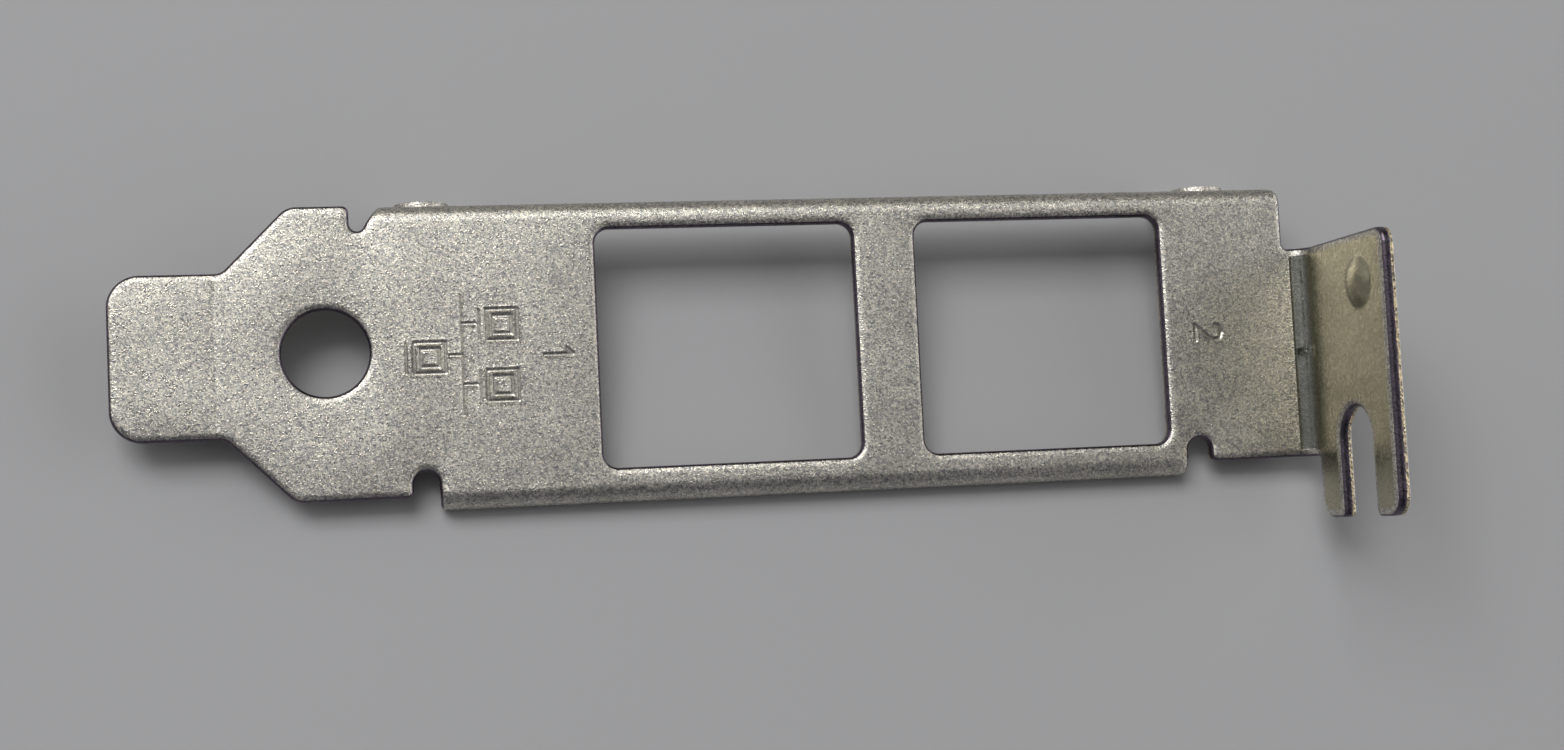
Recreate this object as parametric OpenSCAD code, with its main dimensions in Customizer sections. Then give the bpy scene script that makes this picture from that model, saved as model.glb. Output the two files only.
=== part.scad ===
// Low-profile expansion-slot bracket for a card with two ports.
// One blanked and folded steel sheet: a flat face with two port openings, a narrow
// bottom tab, side flanges with two tapped card ears, and a slotted screw tab.
//
// Frame: the outer face lies in Z = 0 with +Z out of the computer, +X runs along the
// face towards the screw tab, and +Y across it towards the card ears. The origin is on
// the face's centre line, midway between the two port openings.

/* [Sheet] */
// Thickness of the steel sheet
sheet_t = 0.86; // [0.6:0.01:1]
// Inside radius of the side flanges' bends
flange_bend_r = 0.3; // [0.2:0.05:0.4]
// Inside radius of the screw tab's fold
fold_r = 0.95; // [0.5:0.05:1.1]

/* [Face] */
// Length from the bottom tab's tip to the back of the screw tab
overall_l = 79.2; // [78.6:0.1:85]
// Width of the face where it has no flanges
face_w = 18.42; // [18:0.01:20]
// Distance from the bottom tab's tip to the origin
tip_to_origin = 49.05; // [48.5:0.05:49.5]
// Diameter of the round hole in the face
face_hole_d = 5.4; // [3:0.1:7]
// Distance from the bottom tab's tip to the round hole's centre
face_hole_from_tip = 13; // [12:0.1:14]

/* [Ports] */
// Length of each port opening, along X
port_l = 16.9; // [12:0.1:17.4]
// Width of each port opening, along Y
port_w = 15.3; // [10:0.1:15.6]
// Width of the bar between the two openings
port_bar = 4.2; // [2:0.1:5]
// Shift of the openings off the face's centre line, along Y
port_shift = -0.25; // [-0.4:0.05:0.1]
// Radius of the openings' corners
port_corner_r = 0.95; // [0.4:0.05:2]

/* [Bottom tab] */
// Width of the bottom tab
tab_w = 10.3; // [8:0.05:11.4]
// Length of the bottom tab, from its tip to where the face flares out
tab_l = 6.85; // [6.5:0.05:7.4]
// Radius of the bottom tab's corners
tab_corner_r = 2; // [0.5:0.1:3.5]
// Angle at which the bottom tab is bent up
tab_bend_angle = 2.5; // [0.5:0.5:5]
// Distance from the tip to the crease at the tab's root
crease_from_tip = 6.25; // [5:0.05:6.4]
// Angle of the flares between the tab and the full width
flare_angle = 45; // [42:1:55]
// Radius of the inside corner where the tab meets a flare
flare_root_r = 1; // [0.3:0.1:1.5]
// Radius of the outside corner where a flare meets the full width
shoulder_r = 1.4; // [0.3:0.1:2]

/* [Flanges] */
// Depth of the side flanges, from the outer face to their free edge
flange_depth = 1.9; // [1.75:0.05:3]
// How far the plain side's flange stands outside the face's edge
flange_offset = 0.86; // [0.6:0.02:1]
// Distance from the tip to the notch at the ear side's flange
ear_relief_from_tip = 14.7; // [14.5:0.05:14.8]
// Distance from the tip to the first notch at the plain side's flange
plain_relief_from_tip = 18.1; // [17:0.1:21]
// Distance between the outer walls of the plain side's two notches
plain_relief_span = 52.85; // [48:0.05:53.5]
// Depth of the relief notches, from the face's edge
relief_depth = 1.6; // [1.5:0.05:1.7]
// Radius of the ear side's notch
ear_relief_r = 0.5; // [0.4:0.05:0.55]
// Angle at which the ear side's flange leans away from its notch
ear_relief_lean = 28; // [10:1:30]
// Radius of the plain side's notches
plain_relief_r = 0.8; // [0.5:0.05:0.9]
// Angle at which the plain side's flange leans away from its notches
plain_relief_lean = 4; // [1:1:15]
// Radius of the outside corner at a notch's mouth
relief_mouth_r = 0.4; // [0.1:0.05:0.6]
// Radius of the flanges' free corners
flange_corner_r = 0.5; // [0.2:0.1:0.5]

/* [Card ears] */
// Distance from the tip to the first ear's hole
ear_from_tip = 19.3; // [19.3:0.1:21]
// Distance between the two ears' holes
ear_spacing = 52.9; // [48:0.1:54]
// Width of each ear
ear_w = 6.4; // [5.6:0.1:6.4]
// Depth of each ear, from the outer face to its free edge
ear_depth = 5; // [5:0.1:10]
// Depth of the ears' holes below the outer face
ear_hole_depth = 3.1; // [3:0.05:3.2]
// Diameter of the tapped hole in an ear
ear_bore_d = 2.5; // [2:0.1:2.8]
// Outside diameter of the collar drawn out around an ear's hole
collar_d = 3.5; // [3.2:0.1:3.6]
// How far the collar stands out of the ear
collar_h = 0.38; // [0.2:0.02:1]
// Radius of the drawn-in mouth of an ear's hole
bore_mouth_r = 0.35; // [0.1:0.05:0.45]
// Radius of an ear's free corners
ear_corner_r = 1.2; // [0.5:0.1:1.5]

/* [Neck] */
// Distance of the neck's ear-side edge from the face's centre line
neck_top = 4.95; // [3:0.05:6]
// Length of the flat neck between the face's step and the fold
neck_l = 0.43; // [0.4:0.01:1]
// Radius of the inside corner at the step
neck_fillet_r = 0.4; // [0.1:0.05:0.4]

/* [Screw tab] */
// Height of the screw tab above the outer face
screw_tab_h = 11.43; // [10.8:0.01:13]
// Reach of the screw tab's legs from the face's centre line
leg_reach = 13.4; // [12:0.1:16]
// Height of the lower leg's edge above the outer face
leg_clearance = 0.6; // [0.2:0.05:0.9]
// Width of the screw slot
slot_w = 4.42; // [3.8:0.02:4.6]
// Height of the slot's centre line above the outer face
slot_height = 6.02; // [5.8:0.02:6.3]
// Distance of the slot's round end from the face's centre line
slot_end = 8.4; // [7.5:0.1:9.5]
// Radius of the screw tab's top corner
top_corner_r = 1.1; // [0.3:0.1:2]
// Radius of the legs' outer corners
leg_corner_r = 1.35; // [0.3:0.05:1.5]
// Radius of the corners at the slot's mouth
slot_mouth_r = 0.45; // [0.1:0.05:0.6]

/* [Dimple] */
// Diameter of the pressed dimple
dimple_d = 3.4; // [2:0.1:4]
// Height of the dimple above the seating face
dimple_h = 0.6; // [0.3:0.05:0.8]
// Distance of the dimple from the face's centre line
dimple_y = 1.75; // [0:0.05:2.5]
// Height of the dimple's centre above the outer face
dimple_height = 7.9; // [5:0.1:8.4]

/* [Hidden] */

steel = [0.62, 0.59, 0.52];
$fn = 96;
cut = 1;
// How far the notches' round ends and leaning walls overlap
seam = 0.005;

x_tip = -tip_to_origin;
x_back = x_tip + overall_l;
x_seat = x_back - sheet_t;
x_fold = x_seat - fold_r;
x_step = x_fold - neck_l;
x_crease = x_tip + crease_from_tip;
x_flare = x_tip + tab_l;
x_face_hole = x_tip + face_hole_from_tip;
x_ear_relief = x_tip + ear_relief_from_tip;
x_plain_relief = x_tip + plain_relief_from_tip;
x_ear = x_tip + ear_from_tip;

face_edge = face_w / 2;
tab_edge = tab_w / 2;
flare_l = (face_edge - tab_edge) / tan(flare_angle);
bend_out_r = flange_bend_r + sheet_t;
y_ear_side = face_edge;
y_plain_side = -face_edge - flange_offset;

// Width of a relief notch at the face's edge, and how much further in its leaning wall
// lies at the inner side of the flange there
function relief_w(r, lean) = r + r * cos(lean)
    + (relief_depth - r * (1 - sin(lean))) * tan(lean);
function lean_in(lean) = 2 * sheet_t * tan(lean);
ear_relief_w = relief_w(ear_relief_r, ear_relief_lean);
plain_relief_w = relief_w(plain_relief_r, plain_relief_lean);

// The flanges' ends, before their notches trim them
x_ear_flange = x_ear_relief + ear_relief_w - lean_in(ear_relief_lean);
x_plain_flange = x_plain_relief + plain_relief_w - lean_in(plain_relief_lean);
plain_flange_l = plain_relief_span - 2 * (x_plain_flange - x_plain_relief);

// Lays a drawing of (across, up) on the YZ plane and draws it out along +X
module along_x(length) {
    rotate([90, 0, 90]) linear_extrude(length) children();
}

// Lays a drawing of (along, up) on the XZ plane and draws it out along +Y
module along_y(length) {
    translate([0, length, 0]) rotate([90, 0, 0]) linear_extrude(length) children();
}

// What lies outside a round corner of radius r. The corner's point is at the origin
// and its two edges leave it along +X and +Y
module corner_waste(r) {
    difference() {
        translate([-cut, -cut]) square(r + cut);
        translate([r, r]) circle(r);
    }
}

// What lies outside a round corner where an edge along +X meets one that falls away
// along -X at the given angle. Turned by 180 degrees it fills such an inside corner
module slant_corner(r, angle) {
    back = r * tan(angle / 2);
    difference() {
        polygon([
            [-back / 2, r / 2], [back, 0], [back, -r],
            [-back * cos(angle), -back * sin(angle)]
        ]);
        translate([back, -r]) circle(r);
    }
}

// A rectangle about its centre with four round corners
module round_rect(length, width, r) {
    difference() {
        square([length, width], center = true);
        for (i = [0, 1], j = [0, 1])
            mirror([i, 0]) mirror([0, j]) translate([-length / 2, -width / 2]) corner_waste(r);
    }
}

// A plate that hangs from y = 0 down to the given depth, with two round free corners
module hanging_plate(length, depth, r) {
    difference() {
        translate([0, -depth]) square([length, depth]);
        translate([0, -depth]) corner_waste(r);
        translate([length, -depth]) mirror([1, 0]) corner_waste(r);
    }
}

// One half of the bottom tab and its flare, up to the full width of the face
module tab_half() {
    difference() {
        union() {
            polygon([
                [x_tip, 0], [x_tip, tab_edge], [x_flare, tab_edge],
                [x_flare + flare_l, face_edge], [x_ear_relief, face_edge], [x_ear_relief, 0]
            ]);
            translate([x_flare, tab_edge]) rotate(180) slant_corner(flare_root_r, flare_angle);
        }
        translate([x_tip, tab_edge]) mirror([0, 1]) corner_waste(tab_corner_r);
        translate([x_flare + flare_l, face_edge]) slant_corner(shoulder_r, flare_angle);
    }
}

// A relief notch open to +Y: a plain wall at x = 0, a round end of radius r, and the
// leaning end of the flange, which meets the round end
module relief(r, lean) {
    root = face_edge - relief_depth + r;
    mouth = face_edge + bend_out_r;
    x_lean = r + (r - seam) * cos(lean);
    y_lean = root - (r - seam) * sin(lean);
    translate([r, root]) circle(r);
    polygon([
        [0, root], [r, root], [x_lean, y_lean],
        [x_lean + (mouth - y_lean) * tan(lean), mouth], [0, mouth]
    ]);
    translate([0, face_edge]) mirror([1, 1]) corner_waste(relief_mouth_r);
}

// The three relief notches, one at the ear side's flange and two at the plain side's
module reliefs() {
    translate([x_ear_relief, 0]) relief(ear_relief_r, ear_relief_lean);
    mirror([0, 1]) translate([x_plain_relief, 0]) relief(plain_relief_r, plain_relief_lean);
    mirror([0, 1]) translate([x_plain_relief + plain_relief_span, 0]) mirror([1, 0])
        relief(plain_relief_r, plain_relief_lean);
}

// The two port openings and the round hole
module face_openings() {
    for (side = [-1, 1])
        translate([side * (port_bar + port_l) / 2, port_shift])
            round_rect(port_l, port_w, port_corner_r);
    translate([x_face_hole, 0]) circle(d = face_hole_d);
}

// The flat outline of the face before its relief notches, from the bottom tab to the
// start of the fold
module face_outline() {
    difference() {
        union() {
            tab_half();
            mirror([0, 1]) tab_half();
            translate([x_face_hole, -face_edge]) square([x_fold - x_face_hole, face_w]);
        }
        // The sheet past the ear side's bend line and past the plain side's
        translate([x_ear_flange, y_ear_side - bend_out_r])
            square([x_step - x_ear_flange, bend_out_r + cut]);
        translate([x_plain_flange, -face_edge - cut])
            square([plain_flange_l, bend_out_r - flange_offset + cut]);
        // The step down to the neck, with its inside corner
        difference() {
            translate([x_step, neck_top]) square([x_fold + cut - x_step, face_edge + cut - neck_top]);
            translate([x_step, neck_top]) corner_waste(neck_fillet_r);
        }
        face_openings();
    }
}

// The side view of the flat sheet, with the bottom tab bent up at its crease
module face_profile() {
    rise = crease_from_tip * tan(tab_bend_angle);
    polygon([
        [x_tip, rise], [x_crease, 0], [x_fold, 0], [x_fold, -sheet_t],
        [x_crease - sheet_t * tan(tab_bend_angle / 2), -sheet_t],
        [x_tip, rise - sheet_t / cos(tab_bend_angle)]
    ]);
}

module face() {
    intersection() {
        translate([0, -face_edge, 0]) along_y(face_w) face_profile();
        translate([0, 0, -2 * sheet_t]) linear_extrude(4 * sheet_t) face_outline();
    }
}

// A quarter bend of the sheet with its outside at the upper right
module bend_section(inside_r) {
    difference() {
        circle(inside_r + sheet_t);
        circle(inside_r);
        translate([-2 * (inside_r + sheet_t), -inside_r - sheet_t - cut])
            square([2 * (inside_r + sheet_t), 2 * (inside_r + sheet_t + cut)]);
        translate([-cut, -inside_r - sheet_t - cut])
            square([inside_r + sheet_t + 2 * cut, inside_r + sheet_t + cut]);
    }
}

// A flange folded down from a face edge at y = 0, starting at x = 0
module flange(length) {
    translate([0, -bend_out_r, -bend_out_r]) along_x(length) bend_section(flange_bend_r);
    translate([0, -sheet_t, -bend_out_r]) along_y(sheet_t)
        hanging_plate(length, flange_depth - bend_out_r, flange_corner_r);
}

// The ear side's flange, before its relief notch
module ear_flange() {
    translate([x_ear_flange, y_ear_side, 0]) flange(x_step - x_ear_flange);
}

// The plain side's flange, before its relief notches
module plain_flange() {
    translate([x_plain_flange, y_plain_side, 0]) mirror([0, 1, 0]) flange(plain_flange_l);
}

// A card ear: the flange carried on down to hold a tapped, drawn-out hole. It reaches
// from `before` its hole to half the ear's width past it
module ear(before) {
    translate([-before, y_ear_side - sheet_t, -bend_out_r]) along_y(sheet_t)
        hanging_plate(before + ear_w / 2, ear_depth - bend_out_r, ear_corner_r);
    translate([0, y_ear_side - sheet_t / 2, -ear_hole_depth]) rotate([-90, 0, 0])
        cylinder(d = collar_d, h = sheet_t / 2 + collar_h);
}

// The bore through an ear and its collar, with the round mouth on the card's side
module ear_bore() {
    bore_r = ear_bore_d / 2;
    translate([0, y_ear_side - sheet_t, -ear_hole_depth]) rotate([-90, 0, 0]) {
        translate([0, 0, -cut]) cylinder(r = bore_r, h = sheet_t + collar_h + 2 * cut);
        rotate_extrude() difference() {
            translate([0, -cut]) square([bore_r + bore_mouth_r, bore_mouth_r + cut]);
            translate([bore_r + bore_mouth_r, bore_mouth_r]) circle(bore_mouth_r);
        }
    }
}

// The fold that turns the neck up into the screw tab
module fold() {
    translate([x_fold, -face_edge, fold_r]) along_y(face_edge + neck_top)
        rotate(-90) bend_section(fold_r);
}

// The screw tab seen along X: (y, z), with its slot open to -Y
module screw_tab_outline() {
    slot_top = slot_height + slot_w / 2;
    slot_bottom = slot_height - slot_w / 2;
    difference() {
        union() {
            translate([-leg_reach, fold_r]) square([leg_reach + neck_top, screw_tab_h - fold_r]);
            translate([-leg_reach, leg_clearance])
                square([leg_reach - face_edge, fold_r - leg_clearance + cut]);
        }
        translate([neck_top, screw_tab_h]) rotate(180) corner_waste(top_corner_r);
        translate([-leg_reach, screw_tab_h]) rotate(-90) corner_waste(leg_corner_r);
        translate([-leg_reach, leg_clearance]) corner_waste(leg_corner_r);
        translate([-slot_end, slot_height]) circle(d = slot_w);
        translate([-leg_reach - cut, slot_bottom]) square([leg_reach + cut - slot_end, slot_w]);
        translate([-leg_reach, slot_top]) corner_waste(slot_mouth_r);
        translate([-leg_reach, slot_bottom]) rotate(-90) corner_waste(slot_mouth_r);
    }
}

// A ball that cuts a disc of the dimple's diameter out of a plane at x = 0 and
// stands the dimple's height out of it, towards -X
module dimple_ball(diameter) {
    ball_r = (pow(diameter / 2, 2) + pow(dimple_h, 2)) / (2 * dimple_h);
    translate([ball_r - dimple_h, 0, 0]) sphere(ball_r);
}

module screw_tab() {
    difference() {
        union() {
            translate([x_seat, 0, 0]) along_x(sheet_t) screw_tab_outline();
            translate([x_seat, dimple_y, dimple_height]) intersection() {
                dimple_ball(dimple_d);
                translate([-dimple_h - cut, 0, 0]) rotate([0, 90, 0])
                    cylinder(d = dimple_d + cut, h = dimple_h + cut + sheet_t / 2);
            }
        }
        translate([x_back, dimple_y, dimple_height]) dimple_ball(dimple_d - sheet_t);
    }
}

module bracket() {
    color(steel) difference() {
        union() {
            face();
            ear_flange();
            plain_flange();
            translate([x_ear, 0, 0]) ear(x_ear - x_ear_flange);
            translate([x_ear + ear_spacing, 0, 0]) ear(ear_w / 2);
            fold();
            screw_tab();
        }
        translate([0, 0, -ear_depth - cut]) linear_extrude(ear_depth + 2 * cut) reliefs();
        for (i = [0, 1]) translate([x_ear + i * ear_spacing, 0, 0]) ear_bore();
    }
}

bracket();
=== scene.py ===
"""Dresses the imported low-profile slot bracket.

The bracket is made again as what it is: a flat blank with a pressed edge, whose stamped
marks, dimple and tapped collars are shaped in the flat and which is then folded. Flat
points are (x, y, w) in millimetres: x and y on the sheet, and w from 0 on its outer
side to -SHEET_T on the card's side.
"""

import math

import bpy
import numpy as np
from mathutils import Matrix, Vector
from mathutils.geometry import delaunay_2d_cdt


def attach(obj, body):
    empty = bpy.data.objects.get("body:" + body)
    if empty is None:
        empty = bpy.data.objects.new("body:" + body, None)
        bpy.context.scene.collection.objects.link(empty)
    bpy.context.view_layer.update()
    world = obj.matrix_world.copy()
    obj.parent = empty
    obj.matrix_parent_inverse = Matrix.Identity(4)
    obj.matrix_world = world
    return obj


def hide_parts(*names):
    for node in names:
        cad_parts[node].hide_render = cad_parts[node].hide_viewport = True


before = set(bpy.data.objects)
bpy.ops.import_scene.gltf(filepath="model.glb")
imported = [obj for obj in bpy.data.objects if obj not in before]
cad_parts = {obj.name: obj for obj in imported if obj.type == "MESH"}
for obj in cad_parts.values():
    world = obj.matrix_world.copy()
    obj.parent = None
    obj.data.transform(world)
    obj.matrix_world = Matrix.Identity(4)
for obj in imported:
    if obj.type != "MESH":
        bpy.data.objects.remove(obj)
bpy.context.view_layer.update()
MM = 0.001
QUARTER = math.pi / 2

# Material slots of the bracket
FACE, BURNISH_PAINTED_DARK, BREAK, PRESSED_PAINTED_SHADE, SMOOTH_PAINTED_SHADE, STAMPED_PAINTED_SHADE = range(6)

# Sheet and folds
SHEET_T = 0.86
FLANGE_R = 0.3
FOLD_R = 0.95
BEND_OUT = FLANGE_R + SHEET_T
FLANGE_DEPTH = 1.9
EAR_DEPTH = 5.0
EAR_HOLE_DEPTH = 3.1

# Places along X, from the bottom tab's tip to the screw tab's back
X_TIP = -49.05
X_BACK = X_TIP + 79.2
X_FOLD = X_BACK - SHEET_T - FOLD_R
X_STEP = X_FOLD - 0.43
X_CREASE = X_TIP + 6.25
X_FLARE = X_TIP + 6.85
X_HOLE = X_TIP + 13.0
X_EAR_RELIEF = X_TIP + 14.7
X_PLAIN_RELIEF = X_TIP + 18.1
PLAIN_SPAN = 52.85
X_EARS = (X_TIP + 19.3, X_TIP + 72.2)

# Places across
EDGE = 9.21
TAB_EDGE = 5.15
NECK_TOP = 4.95
LEG_END = -13.4
EAR_BEND = EDGE - BEND_OUT
PLAIN_BEND = -(EDGE + SHEET_T - BEND_OUT)
PORTS = ((-19.0, -2.1), (2.1, 19.0))
PORT_Y = (-7.9, 7.4)
HOLE_R = 2.7
EAR_HALF = 3.2

# Relief notches: their depth into the face, widths, and where the flanges start past them
RELIEF_DEPTH = 1.6
EAR_RELIEF_W = 0.8
EAR_START = 1.65
PLAIN_RELIEF_W = 1.6
PLAIN_START = 1.7

# Screw tab, by height over the face: its leg's clearance, slot and top
LEG_LOW, SLOT_LOW, SLOT_HIGH, TAB_TOP = 0.6, 3.81, 8.23, 11.43
SLOT_END = -8.4
SLOT_HALF = 2.21
DIMPLE_HEIGHT = 7.9
DIMPLE_Y = 1.75
DIMPLE_H = 0.58
DIMPLE_R_OUT = 1.75
DIMPLE_R_IN = 1.3
# Past the fold's start, where its pressed band begins and where the tab's own face does; both carry
# darker tints, painted shade in the concave fold and on the upright tab
PRESSED_FROM = -0.1
SMOOTH_FROM = 1.3
# Where a nick crosses the fold
NICK_Y = -2.1

# Edge left by the press: how far it rolls in and down on the outer side
ROLL_IN = 0.5
ROLL_DOWN = 0.3
ROLL_STEPS = 6
# Rest of the cut edge, as (w, inset, slot)
# The burnished band's dark tint is partly the burnish and partly painted shade along the cut edges
CUT_WALL = (
    (-0.6, 0.0, BURNISH_PAINTED_DARK),
    (-0.64, 0.012, BREAK),
    (-0.8, 0.02, BREAK),
    (-SHEET_T, 0.06, FACE),
)

# Bottom tab's rise from its crease
TAB_RISE = math.radians(2.5)
CREASE_RUN = 0.3

# Depth of the stamped strokes, and the pitch of the points that shape them
STROKE_DEPTH = 0.1
MARK_PITCH = 0.055

# The bracket's lowest lines, as (y, z), where it rests on the table
PLAIN_FOOT = (-10.07, -1.9)
EAR_FOOT = (8.35, -5.0)

FINISHES = (
    # name, tint, roughness, height of the grain, size of a speck, contrast of the specks
    ("plated_face", (0.8, 0.75, 0.64), 0.28, 0.02, 0.085, 0.72),
    # Dark tint of the burnish: partly the burnished steel, partly painted shade along the edges
    ("cut_burnish_painted_dark", (0.16, 0.13, 0.16), 0.25, 0.008, 0.1, 0.5),
    ("cut_break", (0.85, 0.7, 0.45), 0.3, 0.05, 0.14, 0.85),
    # Fold band: a smoother pressed finish with a darker tint that is painted shade in the concave fold
    ("pressed_fold_painted_shade", (0.3, 0.3, 0.26), 0.22, 0.006, 0.09, 0.4),
    # Screw tab: a smoother finish with a darker tint that is painted shade on its upright side
    ("smooth_tab_painted_shade", (0.5, 0.46, 0.33), 0.27, 0.003, 0.08, 0.25),
    # Stamped strokes: a smoother finish with a darker tint that is painted shade in the grooves
    ("stamped_stroke_painted_shade", (0.6, 0.57, 0.5), 0.24, 0.006, 0.08, 0.35),
)


def flat_depth(depth):
    """How far past a flange's bend line, in the flat, lies what ends up that deep."""
    return BEND_OUT * QUARTER + depth - BEND_OUT


def flat_height(height):
    """Where, in the flat, lies what ends up that high on the screw tab."""
    return X_FOLD + FOLD_R * QUARTER + height - FOLD_R


FLANGE_Y = EAR_BEND + flat_depth(FLANGE_DEPTH)
EAR_Y = EAR_BEND + flat_depth(EAR_DEPTH)
EAR_HOLE_Y = EAR_BEND + flat_depth(EAR_HOLE_DEPTH)
PLAIN_Y = PLAIN_BEND - flat_depth(FLANGE_DEPTH)


def fold(points):
    """Carries flat points (an n by 3 array) to their places on the folded bracket."""
    x, y, w = (points[:, i].copy() for i in range(3))
    out_x, out_y, out_z = x.copy(), y.copy(), w.copy()
    for side, line, first, last in (
        (1, EAR_BEND, X_EAR_RELIEF + 0.6, X_STEP),
        (-1, -PLAIN_BEND, X_PLAIN_RELIEF + 0.8, X_PLAIN_RELIEF + PLAIN_SPAN - 0.8),
    ):
        past = side * y - line
        bent = (past > 0) & (x > first) & (x < last + 1e-6)
        turn = np.minimum(past / BEND_OUT, QUARTER)
        rest = np.maximum(past - BEND_OUT * QUARTER, 0)
        out_y[bent] = (side * (line + (BEND_OUT + w) * np.sin(turn)))[bent]
        out_z[bent] = (-BEND_OUT + (BEND_OUT + w) * np.cos(turn) - rest)[bent]
    past = x - X_FOLD
    bent = past > 0
    turn = np.minimum(past / FOLD_R, QUARTER)
    rest = np.maximum(past - FOLD_R * QUARTER, 0)
    out_x[bent] = (X_FOLD + (FOLD_R - w) * np.sin(turn))[bent]
    out_z[bent] = (FOLD_R - (FOLD_R - w) * np.cos(turn) + rest)[bent]
    # The bottom tab rises from its crease, over a short round
    bend_start = X_CREASE + CREASE_RUN / 2
    past = bend_start - x
    bent = past > 0
    turn = np.clip(past / CREASE_RUN, 0, 1) * TAB_RISE
    run = np.minimum(past, CREASE_RUN)
    over = np.maximum(past - CREASE_RUN, 0)
    out_x[bent] = (bend_start - run - over * math.cos(TAB_RISE) + w * np.sin(turn))[bent]
    out_z[bent] = (run * turn / 2 + over * math.sin(TAB_RISE) + w * np.cos(turn))[bent]
    return np.stack([np.maximum(out_x, X_TIP), out_y, out_z], axis=1)


def outer_outline():
    """The blank's outline as (x, y, corner radius), anticlockwise seen from outside."""
    root = EDGE - RELIEF_DEPTH
    shoulder = X_FLARE + EDGE - TAB_EDGE
    plain_end = X_PLAIN_RELIEF + PLAIN_SPAN
    ear_start = X_EAR_RELIEF + EAR_START
    leg_low, slot_low, slot_high, top = (
        flat_height(h) for h in (LEG_LOW, SLOT_LOW, SLOT_HIGH, TAB_TOP))
    slot_root = SLOT_END + SLOT_HALF
    near_ear, far_ear = X_EARS
    return [
        # Bottom tab and the plain flange's side
        (X_TIP, -TAB_EDGE, 2.0), (X_FLARE, -TAB_EDGE, 1.0), (shoulder, -EDGE, 1.4),
        (X_PLAIN_RELIEF, -EDGE, 0.4), (X_PLAIN_RELIEF, -root, 0.79),
        (X_PLAIN_RELIEF + PLAIN_RELIEF_W, -root, 0.79),
        (X_PLAIN_RELIEF + PLAIN_START, PLAIN_Y, 0.5), (plain_end - PLAIN_START, PLAIN_Y, 0.5),
        (plain_end - PLAIN_RELIEF_W, -root, 0.79), (plain_end, -root, 0.79),
        (plain_end, -EDGE, 0.4),
        # Screw tab
        (leg_low, -EDGE, 0.25), (leg_low, LEG_END, 1.35), (slot_low, LEG_END, 0.45),
        (slot_low, slot_root, 2.2), (slot_high, slot_root, 2.2), (slot_high, LEG_END, 0.45),
        (top, LEG_END, 1.35), (top, NECK_TOP, 1.1),
        # Ear flange and its two ears
        (X_STEP, NECK_TOP, 0.4), (X_STEP, FLANGE_Y, 0.5),
        (far_ear + EAR_HALF, FLANGE_Y, 0.4), (far_ear + EAR_HALF, EAR_Y, 1.2),
        (far_ear - EAR_HALF, EAR_Y, 1.2), (far_ear - EAR_HALF, FLANGE_Y, 0.4),
        (near_ear + EAR_HALF, FLANGE_Y, 0.4), (near_ear + EAR_HALF, EAR_Y, 1.2),
        (ear_start, EAR_Y, 1.2), (ear_start, root + 1.74, 0.6),
        (X_EAR_RELIEF + EAR_RELIEF_W, root, 0.49), (X_EAR_RELIEF, root, 0.49),
        (X_EAR_RELIEF, EDGE, 0.4), (shoulder, EDGE, 1.4),
        (X_FLARE, TAB_EDGE, 1.0), (X_TIP, TAB_EDGE, 2.0),
    ]


def port_outline(span, corner_r=0.95):
    """A port opening, clockwise, so that the sheet lies on its left too."""
    left, right = span
    low, high = PORT_Y
    return [(left, low, corner_r), (left, high, corner_r),
            (right, high, corner_r), (right, low, corner_r)]


def circle_outline(x, y, r):
    """A round hole as a square whose corner arcs meet, clockwise too."""
    arc_r = r * 0.9999
    return [(x - r, y - r, arc_r), (x - r, y + r, arc_r), (x + r, y + r, arc_r), (x + r, y - r, arc_r)]


def trace(corners, inset=0.0, step=0.22, arc_step=0.09):
    """Points along an outline moved `inset` into the sheet, the same count at any inset.
    Each corner is an arc, and straight runs are cut into short steps."""
    n = len(corners)
    at = [Vector(c[:2]) for c in corners]
    ahead = [(at[(i + 1) % n] - at[i]).normalized() for i in range(n)]
    arcs, legs = [], []
    for i in range(n):
        d0, d1 = ahead[i - 1], ahead[i]
        turn = math.atan2(d0.cross(d1), d0.dot(d1))
        half = math.tan(abs(turn) / 2)
        sign = 1 if turn > 0 else -1
        # The sheet lies to the left of the outline
        into = Vector((-d0.y, d0.x)) + Vector((-d1.y, d1.x))
        corner = at[i] + into * (inset / (1 + d0.dot(d1)))
        r = max(corners[i][2] - sign * inset, 0.02)
        centre = corner - d0 * r * half + sign * Vector((-d0.y, d0.x)) * r
        count = max(2, int(abs(turn) * corners[i][2] / arc_step) + 1)
        arc = []
        for k in range(count + 1):
            a = turn * k / count - sign * QUARTER
            arc.append(centre + r * Vector((
                d0.x * math.cos(a) - d0.y * math.sin(a),
                d0.x * math.sin(a) + d0.y * math.cos(a))))
        arcs.append(arc)
        legs.append(corners[i][2] * half)
    out = []
    for i in range(n):
        out += arcs[i]
        j = (i + 1) % n
        run = (at[j] - at[i]).length - legs[i] - legs[j]
        parts = max(1, int(run / step))
        a, b = arcs[i][-1], arcs[j][0]
        out += [a.lerp(b, k / parts) for k in range(1, parts)]
    return np.array([(p.x, p.y) for p in out])


class Sheet:
    """Collects flat points and faces, which are then folded into one mesh."""

    def __init__(self):
        self.points, self.faces, self.slots = [], [], []
        self.count = 0

    def add(self, pts):
        first = self.count
        self.points.append(np.asarray(pts, float))
        self.count += len(pts)
        return np.arange(first, self.count)

    def strip(self, low, high, slot):
        """Quads between two closed loops of the same length."""
        n = len(low)
        for i in range(n):
            j = (i + 1) % n
            self.faces.append((low[i], low[j], high[j], high[i]))
            self.slots.append(slot)


def roll_size(xy):
    """1 on the face and flanges, less on the ears, whose edge is close to the collar."""
    return 1 - 0.7 * np.clip((xy[:, 1] - FLANGE_Y + 0.4) / 0.8, 0, 1)


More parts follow.
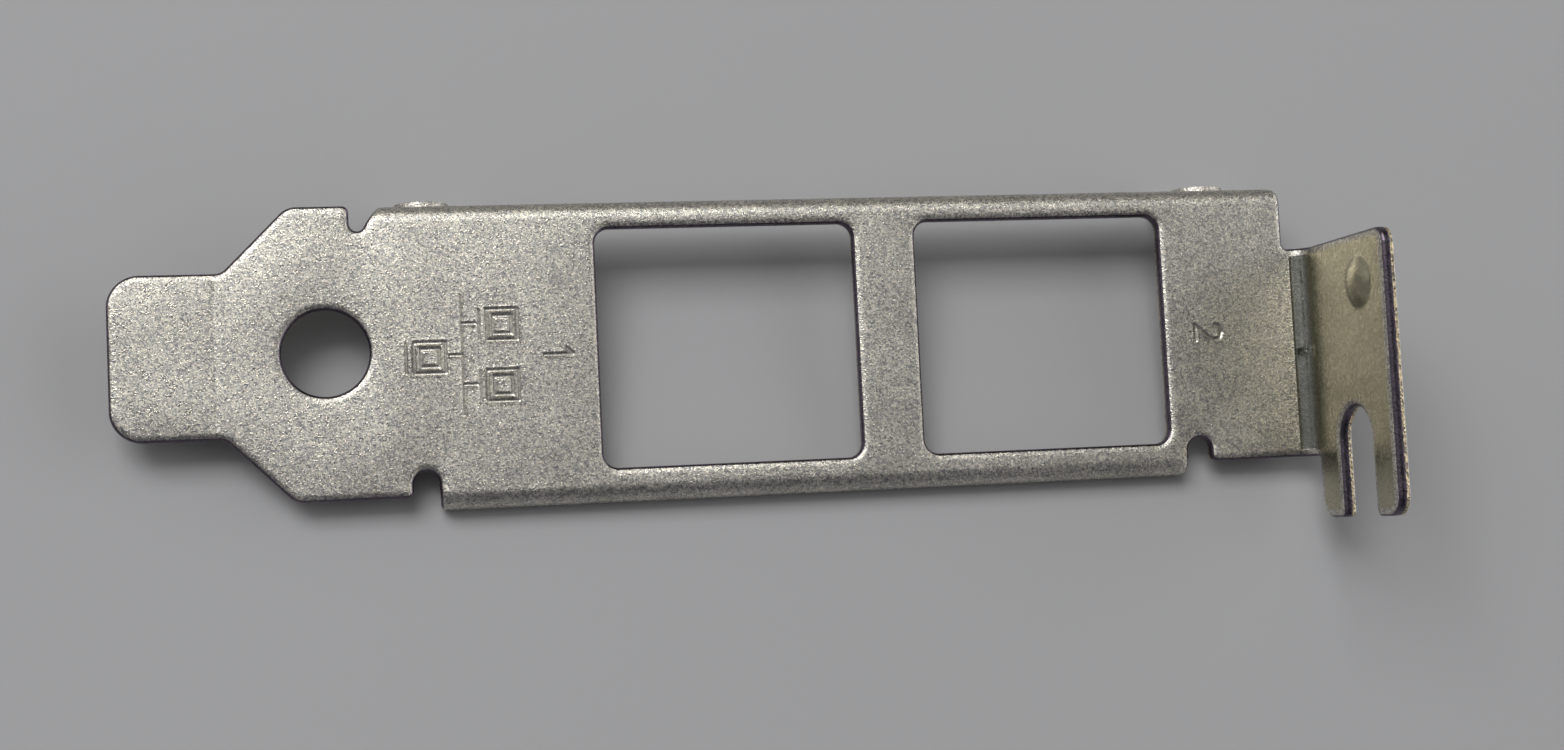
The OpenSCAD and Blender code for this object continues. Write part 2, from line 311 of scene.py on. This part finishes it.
def edge_wall(sheet, corners):
    """The cut edge along one outline: rolled over on the outer side, then burnished,
    then broken. The roll's steep outer part and the burnished band carry a dark tint,
    partly the burnish and partly painted shade along the edges. Returns the loops that
    the outer and the inner surface start from."""
    base = trace(corners)
    inner = trace(corners, ROLL_IN)
    size = roll_size(base)[:, None]
    loops = []
    for k in range(ROLL_STEPS + 1):
        a = QUARTER * k / ROLL_STEPS
        xy = base + (inner - base) * size * (1 - math.sin(a))
        w = -ROLL_DOWN * size * (1 - math.cos(a))
        # The steep outer part of the roll takes the burnished band's dark tint, painted shade along the
        # edges
        slot = FACE if k < ROLL_STEPS - 2 else BURNISH_PAINTED_DARK
        loops.append((np.hstack([xy, w]), slot))
    for w, inset, slot in CUT_WALL:
        xy = base + (inner - base) * inset / ROLL_IN
        loops.append((np.hstack([xy, np.full((len(xy), 1), w)]), slot))
    rows = [sheet.add(p) for p, _ in loops]
    for k in range(1, len(rows)):
        sheet.strip(rows[k], rows[k - 1], loops[k][1])
    return rows[0], rows[-1]


def ring(x, y, r, w, turns):
    return [(x + r * math.cos(a), y + r * math.sin(a), w) for a in turns]


def thread_rings(x, y, root_r, crest_r, low, high, turns, pitch=0.5, steps=24):
    """Rings down a tapped bore, whose thread fades out at both ends."""
    rings = []
    for k in range(steps + 1):
        w = high + (low - high) * k / steps
        fade = min(1, k / 2, (steps - k) / 3)
        points = []
        for a in turns:
            phase = (w / pitch - a / (2 * math.pi)) % 1
            r = crest_r + (root_r - crest_r) * fade * (1 - abs(2 * phase - 1)) * 0.9
            points.append((x + r * math.cos(a), y + r * math.sin(a), w))
        rings.append(points)
    return rings


def collar(sheet, x, y):
    """The tapped collar of an ear: drawn out of the sheet on the outer side, threaded
    inside, with a round mouth on the card's side."""
    around = 64
    turns = np.arange(around) * 2 * math.pi / around
    root_r, crest_r, rim_r = 1.5, 1.25, 1.75
    mouth_r = 0.35
    top = 0.38
    outside = [(1.86, 0.0), (1.79, 0.02), (1.755, 0.08), (rim_r, 0.16), (rim_r, 0.3),
               (1.72, 0.36), (1.66, top), (1.6, top)]
    mouth = [(crest_r + mouth_r * (1 - math.sin(a)), -SHEET_T + mouth_r * (1 - math.cos(a)))
             for a in (QUARTER, 1.2, 0.85, 0.5, 0.22, 0.0)]
    loops = [ring(x, y, r, w, turns) for r, w in outside]
    loops += thread_rings(x, y, root_r, crest_r, -SHEET_T + 0.36, top - 0.06, turns)
    loops += [ring(x, y, r, w, turns) for r, w in mouth]
    rows = [sheet.add(loop) for loop in loops]
    for k in range(1, len(rows)):
        sheet.strip(rows[k], rows[k - 1], FACE)
    return rows[0], rows[-1]


def square_stroke(x, y, half, width):
    corners = [(x - half, y - half), (x + half, y - half), (x + half, y + half), (x - half, y + half)]
    return [(corners[i], corners[(i + 1) % 4], width) for i in range(4)]


def network_sign():
    """Strokes ((x, y), (x, y), width) of a generic network sign: three computers,
    each a square in a square with a bar, on one line."""
    line_x = -27.67
    strokes = [((line_x, 3.4), (line_x, -4.2), 0.17)]
    for x, y, bar, port in ((-29.68, -0.52, -31.15, -28.45), (-25.13, 1.46, -26.6, -26.8),
                            (-25.17, -2.39, -26.6, -26.8)):
        strokes += square_stroke(x, y, 0.97, 0.32)
        strokes += square_stroke(x, y, 0.56, 0.34)
        strokes.append(((bar, y + 0.98), (bar, y - 0.98), 0.2))
        strokes.append(((port, y + 0.12), (line_x, y + 0.12), 0.3))
    return strokes


def numeral(x, y, which):
    """Strokes of a port's number, with its top towards +X."""
    shapes = {
        1: [(-0.4, 0.5), (0.0, 0.92), (0.0, -0.92)],
        2: [(-0.52, 0.5), (-0.4, 0.8), (0.0, 0.92), (0.4, 0.78), (0.5, 0.42), (0.35, 0.05),
            (-0.55, -0.92), (0.55, -0.92)],
    }
    placed = [(x + up, y - side) for side, up in shapes[which]]
    return [(placed[i], placed[i + 1], 0.32) for i in range(len(placed) - 1)]


STROKES = network_sign() + numeral(-21.6, -0.55, 1) + numeral(22.15, -0.55, 2)
# Rectangles (x0, x1, y0, y1) around the sign and the two numbers
MARK_AREAS = ((-31.8, -23.4, -4.8, 4.0), (-23.0, -20.2, -1.6, 0.5), (20.7, 23.6, -1.6, 0.5))


def stroke_distance(x, y):
    """For each point, how far it is from the nearest stroke's middle, in half widths,
    and that stroke's half width."""
    best = np.full(len(x), 1e9)
    half = np.full(len(x), 1.0)
    for (ax, ay), (bx, by), width in STROKES:
        dx, dy = bx - ax, by - ay
        t = np.clip(((x - ax) * dx + (y - ay) * dy) / (dx * dx + dy * dy), 0, 1)
        d = np.hypot(x - ax - t * dx, y - ay - t * dy) / (width / 2)
        nearer = d < best
        best[nearer] = d[nearer]
        half[nearer] = width / 2
    return best, half


def soft_step(value, low, high):
    t = np.clip((value - low) / (high - low), 0, 1)
    return t * t * (3 - 2 * t)


def bump_line(distance, width):
    return np.exp(-(distance / width) ** 2)


def fold_marks(x, y):
    """What the folding tool left in the bend: a ridge and a groove where it starts, a
    beaded line along it that is strongest above a nick, and the nick itself."""
    past = x - X_FOLD
    strength = 0.35 + 0.65 * soft_step(y, NICK_Y - 3, NICK_Y)
    beaded = (1 + 0.7 * np.sin(19 * y)) * (1 + 0.5 * np.sin(2.3 * y)) / 2
    lines = (0.03 * beaded * bump_line(past - 0.74, 0.07) + 0.02 * bump_line(past + 0.08, 0.05)
             - 0.02 * bump_line(past - 0.06, 0.05))
    nick = 0.028 * bump_line(y - NICK_Y, 0.07) * soft_step(past, -0.05, 0.2)
    nick = nick * soft_step(-past, -1.7, -1.4)
    return lines * strength + nick


def stamp_marks(x, y):
    """The stamped strokes, with the metal that they push up beside them."""
    d, half = stroke_distance(x, y)
    depth = STROKE_DEPTH * np.minimum(1, half / 0.14)
    sunk = np.where(d < 1, depth * (1 - d ** 4), 0)
    raised = 0.014 * np.exp(-(((d - 1.25) * half) / 0.05) ** 2) * (d > 1)
    return sunk, raised


def relief(x, y, outer):
    """Height that pressing gives to a surface point: marks on the outer side, and the
    dimple on both sides."""
    h = np.zeros(len(x))
    if outer:
        h += fold_marks(x, y)
        # A groove beside the tab's crease
        h -= 0.02 * bump_line(x - X_CREASE - 0.1, 0.09)
        sunk, raised = stamp_marks(x, y)
        h -= sunk
        h += raised
    r = np.hypot(x - flat_height(DIMPLE_HEIGHT), y - DIMPLE_Y)
    t = np.clip(r / (DIMPLE_R_OUT if outer else DIMPLE_R_IN), 0, 1)
    h += DIMPLE_H * (1 - t ** 2) ** 1.05
    return h


def inside(loops, px, py):
    """Even-odd test of points against closed loops."""
    hit = np.zeros(len(px), bool)
    for loop in loops:
        following = np.roll(loop, -1, axis=0)
        for (ax, ay), (bx, by) in zip(loop, following):
            if ay == by:
                continue
            crosses = ((ay > py) != (by > py)) & (px < (bx - ax) * (py - ay) / (by - ay) + ax)
            hit ^= crosses
    return hit


def grid(x0, x1, y0, y1, pitch):
    gx, gy = np.meshgrid(np.arange(x0, x1, pitch), np.arange(y0, y1, pitch))
    return np.stack([gx.ravel(), gy.ravel()], axis=1)


def bend_rows():
    """Lines across the sheet where it bends, as ((x, y), (x, y))."""
    rows = []
    clear = ROLL_IN + 0.08
    for k in range(17):
        past = BEND_OUT * QUARTER * k / 16
        rows.append(((X_EAR_RELIEF + EAR_START + clear, EAR_BEND + past),
                     (X_STEP - clear, EAR_BEND + past)))
        rows.append(((X_PLAIN_RELIEF + PLAIN_START + clear, PLAIN_BEND - past),
                     (X_PLAIN_RELIEF + PLAIN_SPAN - PLAIN_START - clear, PLAIN_BEND - past)))
    for k in range(-4, 37):
        x = X_FOLD + FOLD_R * QUARTER * k / 32
        rows.append(((x, -EDGE + clear), (x, NECK_TOP - clear)))
    for k in range(-4, 5):
        x = X_CREASE + 0.075 * k
        rows.append(((x, -TAB_EDGE + clear), (x, TAB_EDGE - clear)))
    return rows


def fine_points(outer):
    """Extra points where the surface has relief: the dimple, and on the outer side the
    strokes, the nick and the beaded line."""
    dimple_x = flat_height(DIMPLE_HEIGHT)
    reach = 1.9
    dimple = grid(dimple_x - reach, dimple_x + reach, -0.15, 3.65, 0.11)
    if not outer:
        return dimple
    marks = np.vstack([grid(*area, MARK_PITCH) for area in MARK_AREAS])
    d, half = stroke_distance(marks[:, 0], marks[:, 1])
    marks = marks[(d - 1) * half < 0.27]
    nick = grid(X_FOLD - 0.2, X_FOLD + 1.9, NICK_Y - 0.3, NICK_Y + 0.3, 0.05)
    beads = grid(X_FOLD + 0.55, X_FOLD + 0.95, LEG_END + 4.9, NECK_TOP - 0.7, 0.06)
    return np.vstack([dimple, marks, nick, beads])


def surface_slot(x, in_stroke):
    """Material slot of a piece of the outer surface."""
    past = x - X_FOLD
    # Stroke floors get a darker tint, painted shade in the grooves
    if in_stroke:
        return STAMPED_PAINTED_SHADE
    # The concave fold's band gets a darker tint, painted shade in the crease
    if past < PRESSED_FROM:
        return FACE
    # The screw tab's face gets a darker tint, painted shade on its upright side
    return PRESSED_PAINTED_SHADE if past < SMOOTH_FROM else SMOOTH_PAINTED_SHADE


def surface(sheet, rims, outer):
    """Fills the outer or the inner surface between the loops that the edges end in."""
    loops = [np.vstack(sheet.points)[rim][:, :2] for rim in rims]
    verts, edges, ids = [], [], []
    for loop, rim in zip(loops, rims):
        first = len(verts)
        verts += [tuple(p) for p in loop]
        ids += list(rim)
        edges += [(first + i, first + (i + 1) % len(loop)) for i in range(len(loop))]
    for a, b in bend_rows():
        first = len(verts)
        parts = max(1, int(math.dist(a, b)))
        verts += [(a[0] + (b[0] - a[0]) * k / parts, a[1] + (b[1] - a[1]) * k / parts)
                  for k in range(parts + 1)]
        edges += [(first + k, first + k + 1) for k in range(parts)]
    verts += [tuple(p) for p in fine_points(outer)]
    out = delaunay_2d_cdt([Vector(v) for v in verts], edges, [], 0, 1e-7)
    xy = np.array([tuple(v) for v in out[0]])
    tris = np.array([tuple(f) for f in out[2]])
    middle = xy[tris].mean(axis=1)
    kept = inside(loops, middle[:, 0], middle[:, 1])
    tris, middle = tris[kept], middle[kept]
    # The rims' points are there already, and the rest are new
    origin = np.array([o[0] if o else -1 for o in out[3]])
    known = (origin >= 0) & (origin < len(ids))
    w = relief(xy[:, 0], xy[:, 1], outer) + (0.0 if outer else -SHEET_T)
    place = np.zeros(len(xy), int)
    place[known] = np.array(ids)[origin[known]]
    place[~known] = sheet.add(np.column_stack([xy, w])[~known])
    stamped = stroke_distance(middle[:, 0], middle[:, 1])[0] < 0.8
    for (a, b, c), (x, _), in_stroke in zip(tris, middle, stamped):
        if outer:
            sheet.faces.append((place[a], place[b], place[c]))
            sheet.slots.append(surface_slot(x, in_stroke))
        else:
            sheet.faces.append((place[a], place[c], place[b]))
            sheet.slots.append(FACE)


def build_bracket():
    sheet = Sheet()
    outlines = [outer_outline(), port_outline(PORTS[0]), port_outline(PORTS[1]),
                circle_outline(X_HOLE, 0, HOLE_R)]
    rims = [edge_wall(sheet, o) for o in outlines]
    rims += [collar(sheet, x, EAR_HOLE_Y) for x in X_EARS]
    surface(sheet, [r[0] for r in rims], True)
    surface(sheet, [r[1] for r in rims], False)
    points = fold(np.vstack(sheet.points)) * MM
    mesh = bpy.data.meshes.new("bracket_sheet")
    mesh.from_pydata([tuple(p) for p in points], [], [tuple(int(i) for i in f) for f in sheet.faces])
    mesh.validate()
    mesh.polygons.foreach_set("material_index", sheet.slots[:len(mesh.polygons)])
    mesh.polygons.foreach_set("use_smooth", [True] * len(mesh.polygons))
    mesh.set_sharp_from_angle(angle=math.radians(38))
    mesh.update()
    obj = bpy.data.objects.new("bracket_sheet", mesh)
    bpy.context.scene.collection.objects.link(obj)
    return obj


def ramp(nodes, links, source, stops):
    node = nodes.new("ShaderNodeValToRGB")
    while len(node.color_ramp.elements) < len(stops):
        node.color_ramp.elements.new(0.5)
    for element, (at, colour) in zip(node.color_ramp.elements, stops):
        element.position = at
        element.color = colour
    links.new(source, node.inputs[0])
    return node.outputs[0]


def mixed(nodes, links, mode, first, second):
    """Two colours multiplied or added."""
    node = nodes.new("ShaderNodeMix")
    node.data_type = "RGBA"
    node.blend_type = mode
    node.inputs["Factor"].default_value = 1.0
    links.new(first, node.inputs[6])
    links.new(second, node.inputs[7])
    return node.outputs[2]


def grey(v):
    return (v, v, v, 1)


def plated(name, tint, rough, grain, speck, contrast):
    """Nickel-plated steel: a sandy grain of specks, soft cloudy colour, uneven gloss.
    The grain's height and the specks' size are in millimetres."""
    mat = bpy.data.materials.new(name)
    mat.use_nodes = True
    nodes, links = mat.node_tree.nodes, mat.node_tree.links
    shader = nodes["Principled BSDF"]
    shader.inputs["Metallic"].default_value = 1.0
    coords = nodes.new("ShaderNodeTexCoord")

    def noise(scale, detail, roughness):
        node = nodes.new("ShaderNodeTexNoise")
        node.inputs["Scale"].default_value = scale
        node.inputs["Detail"].default_value = detail
        node.inputs["Roughness"].default_value = roughness
        links.new(coords.outputs["Object"], node.inputs["Vector"])
        return node.outputs["Fac"]

    dark = tuple(c * 0.92 for c in tint) + (1,)
    pale = tuple(min(1, c * 1.06) for c in tint) + (1,)
    cloud = ramp(nodes, links, noise(260, 3, 0.55), [(0.35, dark), (0.65, pale)])
    cells = nodes.new("ShaderNodeTexVoronoi")
    cells.inputs["Scale"].default_value = 1 / (speck * MM)
    links.new(coords.outputs["Object"], cells.inputs["Vector"])
    split = nodes.new("ShaderNodeSeparateColor")
    links.new(cells.outputs["Color"], split.inputs[0])
    bluish = (1 - contrast, 1 - contrast * 0.97, 1 - contrast * 0.88, 1)
    specks = ramp(nodes, links, split.outputs[0], [(0.0, bluish), (1.0, grey(1))])
    links.new(mixed(nodes, links, "MULTIPLY", cloud, specks), shader.inputs["Base Color"])
    gloss = ramp(nodes, links, noise(3200, 2, 0.6), [(0.3, grey(rough - 0.08)), (0.7, grey(rough + 0.1))])
    links.new(gloss, shader.inputs["Roughness"])
    height = nodes.new("ShaderNodeMath")
    height.operation = "MULTIPLY_ADD"
    height.inputs[1].default_value = 1.0
    links.new(noise(1 / (speck * 1.1 * MM), 3, 0.65), height.inputs[0])
    links.new(cells.outputs["Distance"], height.inputs[2])
    bump = nodes.new("ShaderNodeBump")
    bump.inputs["Strength"].default_value = 1.0
    bump.inputs["Distance"].default_value = grain * MM
    links.new(height.outputs[0], bump.inputs["Height"])
    links.new(bump.outputs["Normal"], shader.inputs["Normal"])
    return mat


def stage_floor():
    """The table: it touches the plain flange's edge and the ears' edges, as the bracket
    rests, so it is tilted in the bracket's frame."""
    near, far = Vector((0, *PLAIN_FOOT)) * MM, Vector((0, *EAR_FOOT)) * MM
    slope = (far - near).normalized()
    size = 1.5
    mesh = bpy.data.meshes.new("table")
    corners = [near + slope * s + Vector((t, 0, 0)) for s, t in
               ((-size, -size), (-size, size), (size, size), (size, -size))]
    mesh.from_pydata(corners, [], [(0, 1, 2, 3)])
    floor = bpy.data.objects.new("table", mesh)
    bpy.context.scene.collection.objects.link(floor)
    mat = bpy.data.materials.new("table_grey")
    mat.use_nodes = True
    shader = mat.node_tree.nodes["Principled BSDF"]
    shader.inputs["Base Color"].default_value = (0.345, 0.345, 0.352, 1)
    shader.inputs["Roughness"].default_value = 0.85
    mesh.materials.append(mat)


def area_lamp(name, direction, distance, size, power, aim=(-0.008, 0, 0)):
    """A rectangular lamp whose long side lies along X."""
    light = bpy.data.lights.new(name, "AREA")
    light.shape = "RECTANGLE"
    light.size, light.size_y = size
    light.energy = power
    obj = bpy.data.objects.new(name, light)
    away = Vector(direction).normalized()
    obj.location = Vector(aim) + away * distance
    side = Vector((1, 0, 0))
    up = away.cross(side).normalized()
    side = up.cross(away).normalized()
    obj.rotation_euler = Matrix((side, up, away)).transposed().to_euler()
    bpy.context.scene.collection.objects.link(obj)


def room_light():
    """The room's light by direction: bright overhead towards the ear side, darker behind
    the camera and over the screw tab, with some glow from beyond the screw tab."""
    world = bpy.context.scene.world or bpy.data.worlds.new("world")
    bpy.context.scene.world = world
    world.use_nodes = True
    nodes, links = world.node_tree.nodes, world.node_tree.links
    coords = nodes.new("ShaderNodeTexCoord")
    split = nodes.new("ShaderNodeSeparateXYZ")
    links.new(coords.outputs["Generated"], split.inputs[0])

    def part(axis):
        """A direction's part along an axis, brought from -1..1 to a ramp's 0..1."""
        node = nodes.new("ShaderNodeMapRange")
        node.inputs["From Min"].default_value = -1.0
        node.inputs["From Max"].default_value = 1.0
        links.new(split.outputs[axis], node.inputs["Value"])
        return node.outputs["Result"]

    across = ramp(nodes, links, part("Y"), [
        (0.0, (0.12, 0.125, 0.15, 1)), (0.42, (0.05, 0.052, 0.065, 1)), (0.5, (0.13, 0.13, 0.135, 1)),
        (0.58, grey(0.8)), (0.72, grey(1.0)), (0.85, (0.3, 0.3, 0.27, 1))])
    sideways = part("X")
    along = ramp(nodes, links, sideways, [
        (0.0, grey(0.5)), (0.43, grey(0.65)), (0.52, grey(1.0)), (0.58, grey(0.55)), (0.64, grey(0.2)),
        (0.72, grey(0.08)), (0.85, grey(0.3))])
    glow = ramp(nodes, links, sideways, [(0.0, grey(0.1)), (0.78, grey(0.0)), (0.9, grey(0.9))])
    overhead = mixed(nodes, links, "MULTIPLY", across, along)
    background = nodes["Background"]
    links.new(mixed(nodes, links, "ADD", overhead, glow), background.inputs["Color"])
    background.inputs["Strength"].default_value = 1.4


def camera():
    cam = bpy.data.cameras.new("camera")
    cam.type = "PERSP"
    cam.sensor_width = 36
    cam.lens = 49.86
    cam.clip_start = 0.005
    obj = bpy.data.objects.new("camera", cam)
    obj.location = Vector((-34.98, -11.65, 136.82)) * MM
    pitch, lean, roll = (math.radians(angle) for angle in (3.87, -11.43, -2.10))
    turn = Matrix.Rotation(pitch, 3, "X") @ Matrix.Rotation(lean, 3, "Y") @ Matrix.Rotation(roll, 3, "Z")
    obj.rotation_euler = turn.to_euler()
    bpy.context.scene.collection.objects.link(obj)
    bpy.context.scene.camera = obj


bpy.context.scene.view_settings.view_transform = "Standard"
bracket = build_bracket()
for finish in FINISHES:
    bracket.data.materials.append(plated(*finish))
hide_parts("bracket")
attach(bracket, "root")
stage_floor()
room_light()
area_lamp("tube_lamp", (-0.35, 0.62, 0.75), 0.9, (0.6, 0.45), 5.3)
camera()
